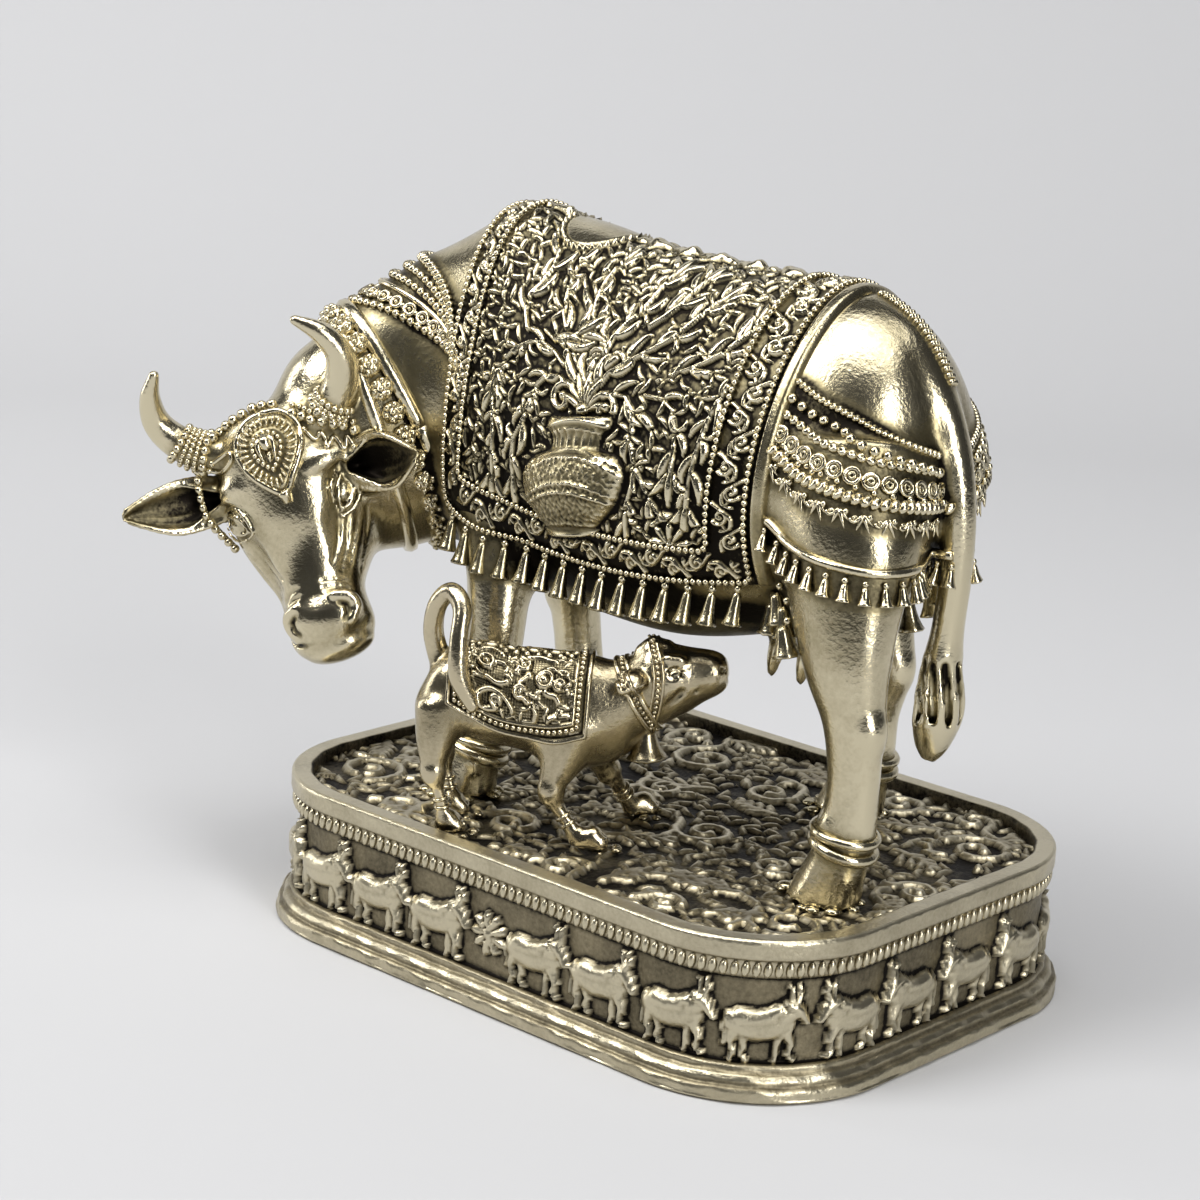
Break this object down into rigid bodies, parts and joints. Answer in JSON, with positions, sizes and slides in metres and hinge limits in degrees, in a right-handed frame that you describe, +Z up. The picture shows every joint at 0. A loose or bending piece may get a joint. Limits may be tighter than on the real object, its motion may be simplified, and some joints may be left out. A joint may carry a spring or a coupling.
{
  "type": "cow and calf statue",
  "caption": "Cast brass figure of a dressed cow bending its head over a calf, on a rounded oblong plinth with carved scrollwork and a frieze of cows.",
  "frame": {"origin": "middle of the plinth's underside", "axes": "+X along the plinth's long side towards the cow's rump, -Y towards the side that the calf stands on, +Z up"},
  "size_m": [0.1467, 0.0984, 0.1221],
  "materials": {
    "plinth_brass": "antique, dull, dark in the hollows",
    "cow_brass": "antique, polished on the high parts, dark in the hollows",
    "calf_brass": "antique, polished on the high parts, dark in the hollows"
  },
  "bodies": {
    "root": {"plinth": "plinth_brass", "cow": "cow_brass", "calf": "calf_brass"}
  },
  "joints": []
}
